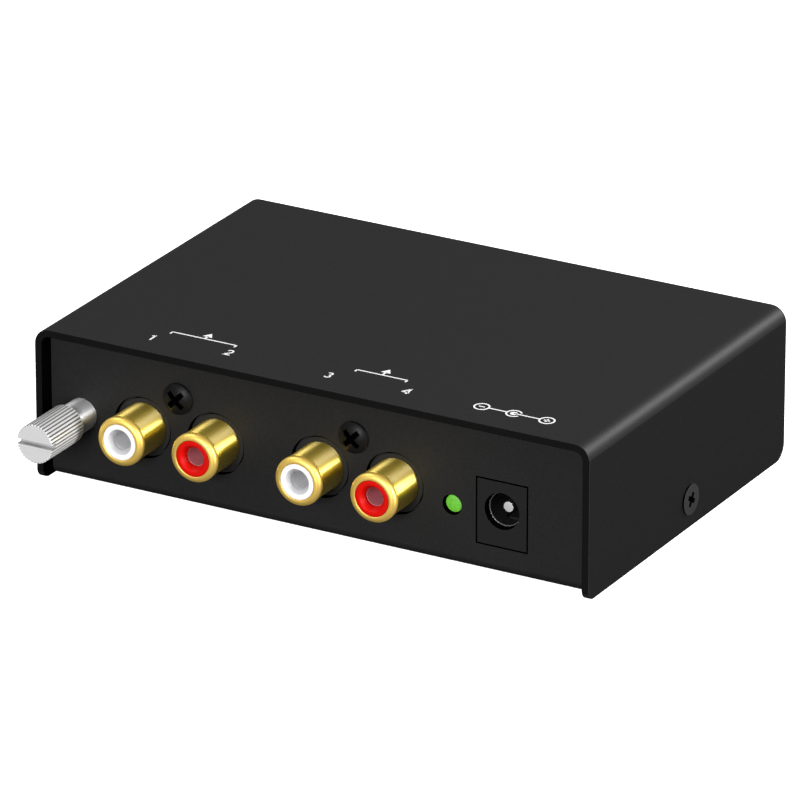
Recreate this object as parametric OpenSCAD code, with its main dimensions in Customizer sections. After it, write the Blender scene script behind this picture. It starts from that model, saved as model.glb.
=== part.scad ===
// Two-channel phono preamplifier in a folded steel case.
// Millimetres. +X is to the right of someone who faces the sockets, +Y runs from
// the sockets to the plain back, and +Z is up. The origin is on the underside,
// below the middle of the cover.

/* [Case] */
// Width over the cover's two side flaps
case_w = 104; // [98:0.5:130]
// Depth of the cover, from its front edge to its back edge
case_d = 69; // [66:0.5:100]
// Height from the underside to the top of the cover
case_h = 27; // [25:0.5:40]
// Sheet thickness of the cover
cover_t = 1.3; // [1.2:0.1:1.6]
// Outside radius of the cover's two long bends
cover_bend_r = 2.8; // [2:0.1:4]
// Radius of each flap's lower corner at the front
flap_front_r = 1.8; // [0.5:0.1:4]
// Radius of each flap's lower corner at the back
flap_back_r = 2.8; // [0.5:0.1:4]
// How far the two panels lie inside the cover's front and back edges
panel_recess = 2.7; // [1:0.1:4]
// Sheet thickness of the chassis
chassis_t = 1.2; // [0.8:0.1:1.6]
// Outside radius of the bends between the floor and the panels
chassis_bend_r = 1.8; // [1.7:0.1:2.5]
// Gap between the chassis and each flap
case_gap = 0.15; // [0.1:0.05:0.3]

/* [Cover screws] */
// Height of the cover screws above the underside
side_screw_z = 5; // [4:0.25:6]
// How far the cover screws lie behind the middle of the case
side_screw_y = 0.5; // [-10:0.5:10]
// Diameter of the cover screws' thread
side_screw_d = 3; // [2.5:0.1:3]
// Diameter of their countersunk heads
side_head_d = 5.3; // [4.8:0.1:5.5]
// Height of the heads' cones
side_head_h = 1.1; // [0.8:0.1:1.15]
// How far the heads stand out of the flaps
side_head_rise = 0.3; // [0.1:0.1:0.6]
// Length of the cover screws inside the flaps' outer faces
side_screw_l = 4.8; // [4:0.1:5]
// Width of the chassis tabs that they screw into
tab_w = 9; // [7:0.5:14]
// Height of those tabs above the underside
tab_h = 9.5; // [8.5:0.5:12]

/* [Circuit board] */
// Thickness of the board
board_t = 1.6; // [1:0.1:2]
// Height of the posts under the board
post_h = 2.15; // [1.5:0.05:4]
// Diameter of those posts
post_d = 6; // [5:0.1:7]
// Gap between the board and the inside of each flap
board_side_gap = 4.2; // [4:0.1:5]
// Gap between the board and the front panel
board_front_gap = 0.8; // [0.3:0.1:1]
// Gap between the board and the back panel
board_back_gap = 1.2; // [0.5:0.1:3]
// Distance from the board's corners to its back screws, along both edges
board_screw_in = 4.5; // [4:0.1:6]
// Distance from the board's front edge to its front screws
board_screw_front = 15.8; // [14:0.1:17]
// Diameter of the board screws' thread
board_screw_d = 3; // [2.5:0.1:3]
// Diameter of the board screws' heads
board_head_d = 5.5; // [5:0.1:6]

/* [Phono sockets] */
// Distance between the two sockets of a pair
socket_pitch = 14; // [13.5:0.1:15]
// Distance from the ground terminal to the first output socket
ground_to_output = 11.6; // [11.3:0.1:14]
// Distance from the second output socket to the first input socket
output_to_input = 19.7; // [18:0.1:22]
// Height of the socket axes above the board
socket_rise = 7.05; // [6.5:0.05:8]
// Outside diameter of the sockets' metal shells
shell_d = 8.3; // [8:0.1:8.4]
// Diameter of the lip round each shell's mouth
shell_lip_d = 8.6; // [8.5:0.1:9]
// Length of that lip
shell_lip_l = 1.2; // [0.8:0.1:2]
// How far the shells stand out of the panel
shell_out = 7.5; // [6:0.1:10]
// Depth of the shells' seats in the plastic housing
shell_seat = 2; // [1:0.1:2.5]
// Diameter of the coloured insulators
insulator_d = 6.2; // [5.8:0.1:6.6]
// Depth of the insulators' seats in the plastic housing
insulator_seat = 5; // [4:0.1:6]
// Diameter of the insulators' mouths
funnel_d = 4.6; // [4.2:0.1:5]
// Depth of the insulators' mouths
funnel_l = 1; // [0.8:0.1:2]
// Thickness of the plastic between a mouth and the centre contact
contact_lip = 0.3; // [0.2:0.1:0.6]
// Diameter of the hole in the centre contacts
contact_bore_d = 3.2; // [3:0.05:3.3]
// Wall thickness of the centre contacts
contact_wall = 0.4; // [0.3:0.05:0.45]
// Depth of the hole in the centre contacts
contact_bore_l = 8; // [6:0.1:9]
// Diameter of the panel's holes round the shells
socket_hole_d = 10.8; // [10:0.1:11.4]
// Gap between those holes and the housing's collars in them
collar_gap = 0.4; // [0.3:0.05:0.6]
// Length of the collars
collar_l = 0.7; // [0.3:0.1:0.8]
// Depth of the plastic housings
housing_l = 9.5; // [8.5:0.1:12]
// Plastic beyond the outer socket axes, on each side
housing_side = 5.3; // [5:0.1:5.7]
// Plastic above the socket axes
housing_above = 5.2; // [4.6:0.1:5.5]
// Height of the housing screws above the socket axes
housing_screw_rise = 6.6; // [6.4:0.1:7.5]
// How far the input housing's screw lies left of the middle
input_screw_shift = 0.5; // [0:0.1:1]
// Diameter of the housing screws' thread
housing_screw_d = 2.9; // [2.5:0.1:3]
// Diameter of the housing screws' heads
housing_head_d = 5.5; // [4.8:0.1:5.8]
// Length of the housing screws under their heads
housing_screw_l = 8; // [6:0.1:8.5]
// Width of the housings' screw towers
tower_w = 9; // [7:0.5:12]

/* [Ground terminal] */
// Distance from the case's left side to the ground terminal
ground_in = 7.4; // [7:0.1:9]
// Height of the terminal's axis above the board
ground_rise = 7.15; // [6.5:0.05:9]
// Diameter of the fixed post
ground_post_d = 5.6; // [5.4:0.1:6.4]
// How far the fixed post stands out of the panel
ground_post_out = 5.1; // [3:0.1:8]
// Diameter of the post's thread behind its shoulder
ground_thread_d = 5; // [4.5:0.1:5]
// Diameter of the thumbscrew's knurled head
knob_d = 6.8; // [6:0.1:8]
// Length of the knurled head
knob_l = 10; // [6:0.1:14]
// Number of knurls round the head
knurls = 40; // [24:1:60]
// Depth of the knurls
knurl_depth = 0.25; // [0.1:0.05:0.4]
// Width of the screwdriver slot
knob_slot_w = 0.9; // [0.6:0.1:1.2]
// Depth of the screwdriver slot
knob_slot_l = 1.2; // [0.6:0.1:2]
// Diameter of the thumbscrew's thread
knob_thread_d = 3; // [2.5:0.1:3]
// How far the thumbscrew can be unscrewed
knob_travel = 3; // [1:0.5:5]
// Width across the flats of the nut on the post
ground_nut_flats = 8; // [7.5:0.1:8.5]
// Thickness of that nut
ground_nut_t = 2.7; // [2:0.1:3.5]
// Thickness of the solder strap under the nut
strap_t = 0.5; // [0.3:0.1:0.8]
// Width of the strap's leg
strap_w = 3; // [2:0.1:3.6]
// Length of the strap's foot on the board
strap_foot = 5; // [3:0.1:7]
// Thickness of the ring that keeps the thumbscrew in
ring_t = 0.6; // [0.4:0.1:1]
// Diameter of that ring
ring_d = 5.2; // [4.6:0.1:7]

/* [Power socket and lamp] */
// Distance from the last input socket to the lamp
input_to_lamp = 10.7; // [9:0.1:11.5]
// Distance from the lamp to the power socket
lamp_to_power = 9.2; // [8.5:0.1:10.5]
// Width of the power socket's face
power_w = 9.1; // [8.5:0.1:9.6]
// Height of the power socket's face
power_h = 11.3; // [10.6:0.1:12]
// Length of the power socket
power_l = 14; // [13.5:0.1:15]
// Gap between the power socket and its cut-out
power_gap = 0.25; // [0.1:0.05:0.3]
// Height of the power socket's axis above the board
power_rise = 6.25; // [5.8:0.05:6.6]
// Diameter of its mouth
power_mouth_d = 6.4; // [6.2:0.1:6.8]
// Depth of its mouth
power_mouth_l = 1.2; // [0.6:0.1:2]
// Diameter of the bore for the plug
power_bore_d = 5.7; // [5.5:0.05:6]
// Depth of the bore for the plug
power_bore_l = 10; // [9:0.1:11]
// Diameter of the centre pin
power_pin_d = 2; // [1.9:0.05:2.5]
// Depth from the face to the tip of the pin
power_pin_in = 2.2; // [1:0.1:3]
// Diameter of the lamp's lens
lamp_d = 3; // [2.8:0.1:3.1]
// Diameter of the lamp's flange
lamp_flange_d = 3.9; // [3.6:0.1:4.2]
// Length of the lamp's lens, flange included
lamp_l = 5.2; // [4.5:0.1:6]
// Height of the lens's domed tip
lamp_dome = 0.3; // [0.1:0.1:1.4]
// Height of the lamp's axis above the board
lamp_rise = 5.5; // [4.5:0.05:7]
// Depth from the panel's face to the tip of the lens
lamp_in = 0.4; // [0.1:0.1:1]
// Diameter of the lamp's hole in the panel
lamp_hole_d = 3.5; // [3.3:0.1:4]

/* [Parts on the board] */
// Distance between the left and the right channel's parts
channel_pitch = 24; // [22:0.5:26]
// Distance from the board's left edge to the left channel's chip
channel_in = 32.5; // [30:0.5:34]
// Distance from the board's front edge to the chips
chip_row = 31.8; // [30:0.1:33]
// Length of a chip
chip_l = 9.4; // [9:0.1:10]
// Width of a chip's plastic body
chip_w = 6.4; // [6:0.1:6.6]
// Height of a chip's plastic body
chip_h = 3.3; // [3:0.1:3.6]
// Diameter of the coupling capacitors
coupling_d = 6.3; // [5:0.1:6.5]
// Height of the coupling capacitors
coupling_h = 11; // [7:0.5:11.5]
// Diameter of the supply capacitors
supply_d = 8; // [6.3:0.1:8.5]
// Height of the supply capacitors
supply_h = 12; // [9:0.5:12]
// Length of a film capacitor
film_l = 7.2; // [6:0.1:8]
// Thickness of a film capacitor
film_t = 2.6; // [2:0.1:3.5]
// Height of a film capacitor
film_h = 6.5; // [5:0.1:8]
// Diameter of a resistor's body
resistor_d = 2.3; // [1.8:0.1:2.5]
// Length of a resistor's body
resistor_l = 6.3; // [5:0.1:7]
// Distance between a resistor's legs
resistor_span = 10; // [9:0.1:10.5]

/* [Hidden] */

$fn = 64;
eps = 1;                    // how far a cut runs past the face that it opens
thread_gap = 0.05;          // between a thread and its hole, on the radius
slip_gap = 0.05;            // between two pressed or sliding parts, on the radius

// Planes and edges of the case
front_y = -case_d / 2 + panel_recess;
front_in_y = front_y + chassis_t;
back_y = case_d / 2 - panel_recess;
back_in_y = back_y - chassis_t;
flap_in_x = case_w / 2 - cover_t;
chassis_x = flap_in_x - case_gap;
roof_z = case_h - cover_t;
inner_bend_r = max(cover_bend_r - cover_t, 0.3);

// The board and what stands on it
board_z = chassis_t + post_h;
board_top_z = board_z + board_t;
board_x = flap_in_x - board_side_gap;
board_front_y = front_in_y + board_front_gap;
board_back_y = back_in_y - board_back_gap;
board_screw_hole_d = board_screw_d + 0.2;
board_screw_l = board_t + post_h - 0.15;
board_screws_at = [
    for (side = [-1, 1]) [side * (board_x - board_screw_in), board_front_y + board_screw_front],
    for (side = [-1, 1]) [side * (board_x - board_screw_in), board_back_y - board_screw_in]
];

// Places along the front panel, from left to right
ground_x = -case_w / 2 + ground_in;
output_left_x = ground_x + ground_to_output;
output_right_x = output_left_x + socket_pitch;
input_left_x = output_right_x + output_to_input;
input_right_x = input_left_x + socket_pitch;
lamp_x = input_right_x + input_to_lamp;
power_x = lamp_x + lamp_to_power;
output_mid_x = output_left_x + socket_pitch / 2;
input_mid_x = input_left_x + socket_pitch / 2;
output_screw_x = output_mid_x;
input_screw_x = input_mid_x - input_screw_shift;

// Heights of the axes
socket_z = board_top_z + socket_rise;
housing_screw_z = socket_z + housing_screw_rise;
ground_z = board_top_z + ground_rise;
power_z = board_top_z + power_rise;
lamp_z = board_top_z + lamp_rise;

// A phono socket, measured back from its mouth
socket_y = front_y - shell_out;
housing_back_y = front_in_y + housing_l;
contact_y = socket_y + funnel_l + contact_lip;
shell_l = front_in_y + shell_seat - socket_y;
insulator_l = front_in_y + insulator_seat - socket_y;
collar_d = socket_hole_d - 2 * collar_gap;
contact_d = contact_bore_d + 2 * contact_wall;
contact_l = contact_bore_l + 0.6;
contact_mouth_d = contact_bore_d + 2 * slip_gap;
contact_tail_d = 1.8;
lip_round = 0.45;
shell_groove_d = shell_d - 0.3;
shell_groove_l = 0.4;
leg_w = 1;
leg_t = 0.5;
leg_gap = 0.2;
shell_leg_y = board_front_y + 0.1;
contact_leg_y = housing_back_y + 0.3;

// The power socket and the lamp
power_front_l = 3.4;
power_barrel_d = power_w - 0.5;
pin_chamfer = 0.3;
pin_leg_w = 2;
pin_leg_t = 0.4;
spring_w = 2.4;
spring_t = 0.35;
spring_l = 6.4;
spring_in = 4.3;
spring_top = power_bore_d / 2 - 0.15;
lamp_flange_l = 1;
lamp_wire = 0.5;
lamp_wire_pitch = 2.54;
lamp_wire_back = 2;

// The ground terminal, measured back from the panel's face
ground_post_back_y = front_in_y + strap_t + ground_nut_t + 0.8;
knob_y = front_y - ground_post_out - knob_l;
ring_y = ground_post_back_y + knob_travel + 0.1;
groove_gap = 0.05;
groove_d = knob_thread_d - 0.6;
ring_bore_d = groove_d + 2 * slip_gap;
ring_mouth = groove_d - 0.4;
knob_tail_y = ring_y + ring_t + 0.8;
ground_hole_d = ground_thread_d + 0.2;
strap_d = ground_nut_flats + 0.6;

// Rows of parts behind the sockets. Each channel's parts are placed from its chip.
chip_y = board_front_y + chip_row;
chips_x = [-board_x + channel_in, -board_x + channel_in + channel_pitch];
chip_lift = 0.6;
chip_leg_pitch = 2.54;
chip_leg_span = chip_w + 1.2;
chip_leg_t = 0.3;
coupling_ahead = 15;
coupling_y = chip_y - coupling_ahead;
coupling_left = 3;
coupling_step = 12;
can_foot_h = 1.2;
can_waist_h = 0.7;
can_waist_depth = 0.3;
ceramic_ahead = 8;
ceramic_y = chip_y - ceramic_ahead;
ceramic_d = 5;
ceramic_t = 2.4;
ceramic_lift = 1;
ceramic_leg_pitch = 2.54;
film_behind = 10;
film_y = chip_y + film_behind;
film_pitch = 6;
film_left = 4;
film_step = 10;
resistor_left = 13;
resistor_row = -1.5;
resistor_pitch = 3;
wire_d = 0.6;
axial_lift = 0.1;
supply_right = 3;
supply_x = lamp_x + supply_right;
supply_pitch = 10;
supply_behind = 4;
supply_y = coupling_y + supply_behind;
regulator_right = 10;
regulator_x = supply_x + regulator_right;
regulator_behind = 4;
regulator_y = chip_y + regulator_behind;
regulator_d = 4.8;
regulator_h = 4.6;
regulator_lift = 3;
regulator_leg_w = 0.5;
regulator_leg_pitch = 1.27;
diode_right = 4;
diode_x = power_x + diode_right;
diode_ahead = 6;
diode_y = chip_y - diode_ahead;
diode_d = 2.7;
diode_l = 5.2;
diode_span = 10;
diode_wire_d = 0.8;

// Colours of the insulators: the left channel's is white, the right channel's red
white = [0.93, 0.93, 0.93];
red = [0.8, 0.06, 0.04];

// ---- Shared shapes -------------------------------------------------------

// Round bar along Y, from y0 to y1
module bar_y(x, z, y0, y1, d) {
    translate([x, y0, z]) rotate([-90, 0, 0]) cylinder(h = y1 - y0, d = d);
}

// Turned part along Y: the profile's x is the radius, its y runs back from y0
module turned_y(x, z, y0) {
    translate([x, y0, z]) rotate([-90, 0, 0]) rotate_extrude() children();
}

// Ring section of a turned part, between two diameters
module ring_section(d_in, d_out, from, to) {
    translate([d_in / 2, from]) square([(d_out - d_in) / 2, to - from]);
}

// Rectangle standing on y = 0 with its two upper corners rounded
module arch(w, h, r) {
    translate([-w / 2, 0]) square([w, h - r]);
    translate([-w / 2 + r, 0]) square([w - 2 * r, h]);
    for (side = [-1, 1]) translate([side * (w / 2 - r), h - r]) circle(r);
}

// Waste in the corner of a flap: a square bar with a round corner left out
module corner_waste(y, toward, r) {
    translate([-case_w / 2 - eps, y, 0]) difference() {
        translate([0, toward > 0 ? -eps : -r, -eps]) cube([case_w + 2 * eps, r + eps, r + eps]);
        translate([-eps, toward * r, r]) rotate([0, 90, 0]) cylinder(h = case_w + 4 * eps, r = r);
    }
}

// Cross-shaped driver recess, cut down from z = 0 and turned to stand as an X
module cross_recess(d, depth) {
    for (turn = [45, 135]) rotate([0, 0, turn])
        translate([-d / 2, -d / 8, -depth]) cube([d, d / 4, depth + eps]);
}

// Pan-head screw along -Z with the underside of its head at z = 0
module pan_screw(head_d, head_h, thread_d, length) {
    rim_h = head_h / 3;
    dome_h = head_h - rim_h;
    dome_r = (pow(head_d / 2, 2) + pow(dome_h, 2)) / (2 * dome_h);
    difference() {
        union() {
            rotate_extrude() intersection() {
                translate([0, head_h - dome_r]) circle(dome_r, $fn = 128);
                square([head_d / 2, head_h]);
            }
            translate([0, 0, -length]) cylinder(h = length + head_h / 2, d = thread_d);
        }
        translate([0, 0, head_h]) cross_recess(head_d * 0.62, head_h * 0.75);
    }
}

// ---- Case ----------------------------------------------------------------

// U-shaped cover: a top with two side flaps
module top_cover() color([0.2, 0.2, 0.2]) difference() {
    translate([0, case_d / 2, 0]) rotate([90, 0, 0]) linear_extrude(case_d) difference() {
        arch(case_w, case_h, cover_bend_r);
        translate([0, -eps]) arch(2 * flap_in_x, roof_z + eps, inner_bend_r);
    }
    corner_waste(-case_d / 2, 1, flap_front_r);
    corner_waste(case_d / 2, -1, flap_back_r);
    for (side = [-1, 1])
        translate([side * case_w / 2, side_screw_y, side_screw_z]) rotate([0, -90 * side, 0]) {
            translate([0, 0, -eps]) cylinder(h = cover_t + 2 * eps, d = side_screw_d + 2 * thread_gap);
            cylinder(h = side_head_h, d1 = side_head_d + 2 * slip_gap, d2 = side_screw_d + 2 * thread_gap);
        }
}

// U-shaped chassis: front panel, floor, back panel and two screw tabs
module chassis() color([0.17, 0.17, 0.17]) difference() {
    union() {
        intersection() {
            translate([-chassis_x, 0, 0]) rotate([90, 0, 90]) linear_extrude(2 * chassis_x)
                difference() {
                    translate([0, roof_z]) mirror([0, 1])
                        arch(back_y - front_y, roof_z, chassis_bend_r);
                    translate([0, roof_z + eps]) mirror([0, 1])
                        arch(back_in_y - front_in_y, roof_z + eps - chassis_t, chassis_bend_r - chassis_t);
                }
            translate([0, case_d, 0]) rotate([90, 0, 0]) linear_extrude(2 * case_d)
                arch(2 * chassis_x, roof_z, inner_bend_r);
        }
        for (side = [-1, 1])
            translate([side * (chassis_x - chassis_t / 2), side_screw_y, tab_h / 2])
                cube([chassis_t, tab_w, tab_h], center = true);
    }
    for (side = [-1, 1]) translate([side * (chassis_x + eps), side_screw_y, side_screw_z])
        rotate([0, -90 * side, 0]) cylinder(h = chassis_t + 2 * eps, d = side_screw_d + 2 * thread_gap);
    for (x = [output_left_x, output_right_x, input_left_x, input_right_x])
        panel_hole(x, socket_z, socket_hole_d);
    for (x = [output_screw_x, input_screw_x])
        panel_hole(x, housing_screw_z, housing_screw_d + 0.2);
    panel_hole(ground_x, ground_z, ground_hole_d);
    panel_hole(lamp_x, lamp_z, lamp_hole_d);
    translate([power_x - power_w / 2 - power_gap, front_y - eps, board_top_z - power_gap])
        cube([power_w + 2 * power_gap, chassis_t + 2 * eps, power_h + 2 * power_gap]);
}

// Round hole through the front panel
module panel_hole(x, z, d) bar_y(x, z, front_y - eps, front_in_y + eps, d);

// Countersunk screw at each side, through the flap into the chassis tab. Its head stands a little proud.
module side_screws() color([0.14, 0.14, 0.14])
    for (side = [-1, 1])
        translate([side * case_w / 2, side_screw_y, side_screw_z]) rotate([0, -90 * side, 0])
            difference() {
                union() {
                    translate([0, 0, -side_head_rise]) cylinder(h = side_head_rise, d = side_head_d);
                    cylinder(h = side_head_h, d1 = side_head_d, d2 = side_screw_d);
                    cylinder(h = side_screw_l, d = side_screw_d);
                }
                translate([0, 0, -side_head_rise]) mirror([0, 0, 1])
                    cross_recess(side_head_d * 0.6, side_head_h * 0.7);
            }

// ---- Circuit board -------------------------------------------------------

module circuit_board() color([0.1, 0.35, 0.18]) difference() {
    translate([-board_x, board_front_y, board_z])
        cube([2 * board_x, board_back_y - board_front_y, board_t]);
    for (at = board_screws_at) translate([at[0], at[1], board_z - eps])
        cylinder(h = board_t + 2 * eps, d = board_screw_hole_d);
}

// Threaded posts pressed into the floor, under the board
module board_posts() color([0.75, 0.75, 0.72])
    for (at = board_screws_at) translate([at[0], at[1], chassis_t]) difference() {
        cylinder(h = post_h, d = post_d);
        translate([0, 0, -eps]) cylinder(h = post_h + 2 * eps, d = board_screw_d + 2 * thread_gap);
    }

module board_screws() color([0.75, 0.75, 0.72])
    for (at = board_screws_at) translate([at[0], at[1], board_top_z])
        pan_screw(board_head_d, 1.8, board_screw_d, board_screw_l);

// ---- Phono sockets -------------------------------------------------------

// Black plastic housing of two sockets, with a collar round each and a tower for its screw
module jack_housing(mid_x, screw_x) color([0.13, 0.13, 0.13]) difference() {
    union() {
        housing_w = socket_pitch + 2 * housing_side;
        translate([mid_x - housing_w / 2, front_in_y, board_top_z])
            cube([housing_w, housing_l, socket_rise + housing_above]);
        translate([screw_x - tower_w / 2, front_in_y, board_top_z])
            cube([tower_w, housing_l, housing_screw_z + housing_screw_d - board_top_z]);
        for (side = [-1, 1])
            bar_y(mid_x + side * socket_pitch / 2, socket_z, front_in_y - collar_l, front_in_y + eps,
                collar_d);
    }
    for (side = [-1, 1]) {
        x = mid_x + side * socket_pitch / 2;
        bar_y(x, socket_z, front_y - eps, front_in_y + shell_seat, shell_d + 2 * slip_gap);
        bar_y(x, socket_z, front_y - eps, front_in_y + insulator_seat, insulator_d + 2 * slip_gap);
        bar_y(x, socket_z, front_y - eps, housing_back_y + eps, contact_tail_d + 2 * slip_gap);
        translate([x - leg_w / 2 - leg_gap, shell_leg_y - leg_gap, board_top_z - eps])
            cube([leg_w + 2 * leg_gap, leg_t + 2 * leg_gap, socket_rise + eps - insulator_d / 2]);
    }
    bar_y(screw_x, housing_screw_z, front_in_y - eps, front_y + housing_screw_l + 0.3,
        housing_screw_d + 2 * thread_gap);
}

// Black pan-head screws that hold the two housings to the panel
module housing_screws() color([0.1, 0.1, 0.1])
    for (x = [output_screw_x, input_screw_x]) translate([x, front_y, housing_screw_z])
        rotate([90, 0, 0]) pan_screw(housing_head_d, 1.3, housing_screw_d, housing_screw_l);

// Gold-plated shell with a rounded lip and a leg down to the board
module shell(x) color([0.85, 0.68, 0.25]) difference() {
    union() {
        turned_y(x, socket_z, socket_y) {
            ring_section(insulator_d, shell_lip_d - 2 * lip_round, 0, shell_lip_l);
            ring_section(insulator_d, shell_lip_d, lip_round, shell_lip_l - lip_round);
            translate([shell_lip_d / 2 - lip_round, lip_round]) circle(lip_round);
            translate([shell_lip_d / 2 - lip_round, shell_lip_l - lip_round]) circle(lip_round);
            ring_section(insulator_d, shell_groove_d, 0, shell_lip_l + shell_groove_l);
            ring_section(insulator_d, shell_d, shell_lip_l + shell_groove_l, shell_l);
        }
        translate([x - leg_w / 2, shell_leg_y, board_top_z])
            cube([leg_w, leg_t, socket_rise - insulator_d / 2]);
    }
    bar_y(x, socket_z, socket_y - eps, socket_y + shell_l + eps, insulator_d + 2 * slip_gap);
}

// Coloured insulator: a funnel mouth, and a lip that hides the contact's front edge
module insulator(x, tint) color(tint) difference() {
    bar_y(x, socket_z, socket_y, socket_y + insulator_l, insulator_d);
    turned_y(x, socket_z, socket_y) {
        polygon([
            [0, -eps], [funnel_d / 2, -eps], [funnel_d / 2, 0],
            [contact_mouth_d / 2, funnel_l], [0, funnel_l]
        ]);
        square([contact_mouth_d / 2, contact_y - socket_y + eps]);
        translate([0, contact_y - socket_y]) square([contact_d / 2 + slip_gap, contact_l + slip_gap]);
        translate([0, contact_y - socket_y]) square([contact_tail_d / 2 + slip_gap, insulator_l]);
    }
}

// Centre contact: a sleeve for the plug's pin, a tail and a leg to the board
module contact(x) color([0.7, 0.68, 0.62]) {
    difference() {
        union() {
            bar_y(x, socket_z, contact_y, contact_y + contact_l, contact_d);
            bar_y(x, socket_z, contact_y + contact_bore_l, contact_leg_y + leg_t, contact_tail_d);
        }
        bar_y(x, socket_z, socket_y, contact_y + contact_bore_l, contact_bore_d);
    }
    translate([x - leg_w / 2, contact_leg_y, board_top_z]) cube([leg_w, leg_t, socket_rise]);
}

// ---- Ground terminal -----------------------------------------------------

// Fixed post with a shoulder on the panel and a thread behind it
module ground_post() color([0.78, 0.78, 0.78]) turned_y(ground_x, ground_z, front_y) {
    ring_section(knob_thread_d + 2 * thread_gap, ground_post_d, -ground_post_out, 0);
    ring_section(knob_thread_d + 2 * thread_gap, ground_thread_d, -eps, ground_post_back_y - front_y);
}

// Hexagonal nut that clamps the post and the strap to the panel
module ground_nut() color([0.75, 0.75, 0.72])
    translate([ground_x, front_in_y + strap_t, ground_z]) rotate([-90, 0, 0]) difference() {
        rotate([0, 0, 30]) cylinder(h = ground_nut_t, d = ground_nut_flats / cos(30), $fn = 6);
        translate([0, 0, -eps]) cylinder(h = ground_nut_t + 2 * eps, d = ground_thread_d + 2 * thread_gap);
    }

// Strap from the post to the board: an eye, a leg and a foot
module ground_strap() color([0.75, 0.75, 0.72]) difference() {
    union() {
        bar_y(ground_x, ground_z, front_in_y, front_in_y + strap_t, strap_d);
        translate([ground_x - strap_w / 2, front_in_y, board_top_z]) {
            cube([strap_w, strap_t, ground_rise]);
            cube([strap_w, strap_foot, strap_t]);
        }
    }
    bar_y(ground_x, ground_z, front_in_y - eps, front_in_y + strap_t + eps,
        ground_thread_d + 2 * thread_gap);
}

// Thumbscrew: a knurled head with a slot, and a thread with a groove near its end
module ground_screw() color([0.8, 0.8, 0.8]) difference() {
    union() {
        translate([ground_x, knob_y, ground_z]) rotate([-90, 0, 0]) linear_extrude(knob_l)
            polygon([for (i = [0 : 2 * knurls - 1])
                (knob_d / 2 - (i % 2) * knurl_depth) * [cos(180 * i / knurls), sin(180 * i / knurls)]]);
        bar_y(ground_x, ground_z, knob_y + knob_l - eps, ring_y - groove_gap, knob_thread_d);
        bar_y(ground_x, ground_z, ring_y - eps, knob_tail_y - 0.2, groove_d);
        bar_y(ground_x, ground_z, ring_y + ring_t + groove_gap, knob_tail_y, knob_thread_d);
    }
    translate([ground_x - knob_d, knob_y - eps, ground_z - knob_slot_w / 2])
        cube([2 * knob_d, knob_slot_l + eps, knob_slot_w]);
}

// Spring ring in the groove: it stops the thumbscrew from coming out
module ground_screw_ring() color([0.3, 0.3, 0.3]) difference() {
    bar_y(ground_x, ground_z, ring_y, ring_y + ring_t, ring_d);
    bar_y(ground_x, ground_z, ring_y - eps, ring_y + ring_t + eps, ring_bore_d);
    translate([ground_x - ring_mouth / 2, ring_y - eps, ground_z])
        cube([ring_mouth, ring_t + 2 * eps, ring_d]);
}

// ---- Power socket and lamp -----------------------------------------------

// Black plastic body: a square front, and a barrel on a foot behind the panel
module power_jack_body() color([0.15, 0.15, 0.15]) difference() {
    union() {
        translate([power_x - power_w / 2, front_y, board_top_z])
            cube([power_w, power_front_l, power_h]);
        bar_y(power_x, power_z, front_y, front_y + power_l, power_barrel_d);
        translate([power_x - power_barrel_d / 2, front_y, board_top_z])
            cube([power_barrel_d, power_l, power_rise]);
    }
    bar_y(power_x, power_z, front_y - eps, front_y + power_mouth_l, power_mouth_d);
    bar_y(power_x, power_z, front_y - eps, front_y + power_bore_l, power_bore_d);
    bar_y(power_x, power_z, front_y, front_y + power_l + eps, power_pin_d + 2 * slip_gap);
    translate([power_x - spring_w / 2 - leg_gap, front_y + spring_in - leg_gap, board_top_z - eps])
        cube([spring_w + 2 * leg_gap, spring_l + 2 * leg_gap, power_rise + eps - power_pin_d]);
}

// Centre pin with a chamfered tip, and its leg behind the body
module power_jack_pin() color([0.8, 0.8, 0.78]) {
    turned_y(power_x, power_z, front_y) polygon([
        [0, power_pin_in], [power_pin_d / 2 - pin_chamfer, power_pin_in],
        [power_pin_d / 2, power_pin_in + pin_chamfer],
        [power_pin_d / 2, power_l + pin_leg_t], [0, power_l + pin_leg_t]
    ]);
    translate([power_x - pin_leg_w / 2, front_y + power_l, board_top_z])
        cube([pin_leg_w, pin_leg_t, power_rise]);
}

// Leaf under the bore that presses on the plug's sleeve, and its leg
module power_jack_spring() color([0.8, 0.8, 0.78])
    translate([power_x - spring_w / 2, front_y + spring_in, board_top_z]) {
        translate([0, 0, power_rise - spring_top - spring_t]) cube([spring_w, spring_l, spring_t]);
        cube([spring_w, spring_t, power_rise - spring_top]);
    }

// Green lens with a domed tip and a flange at its back
module lamp_lens() color([0.4, 0.8, 0.25]) turned_y(lamp_x, lamp_z, front_y + lamp_in) {
    dome_r = (pow(lamp_d / 2, 2) + pow(lamp_dome, 2)) / (2 * lamp_dome);
    intersection() {
        translate([0, dome_r]) circle(dome_r, $fn = 128);
        square([lamp_d / 2, lamp_dome]);
    }
    translate([0, lamp_dome]) square([lamp_d / 2, lamp_l - lamp_dome]);
    translate([0, lamp_l - lamp_flange_l]) square([lamp_flange_d / 2, lamp_flange_l]);
}

// Two wires from the back of the lens, bent down to the board
module lamp_legs() color([0.75, 0.75, 0.72])
    for (side = [-1, 1])
        translate([lamp_x + (side * lamp_wire_pitch - lamp_wire) / 2,
                front_y + lamp_in + lamp_l, board_top_z]) {
            translate([0, 0, lamp_rise - lamp_wire / 2]) cube([lamp_wire, lamp_wire_back, lamp_wire]);
            translate([0, lamp_wire_back - lamp_wire, 0]) cube([lamp_wire, lamp_wire, lamp_rise]);
        }

// ---- Parts on the board --------------------------------------------------

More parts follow.
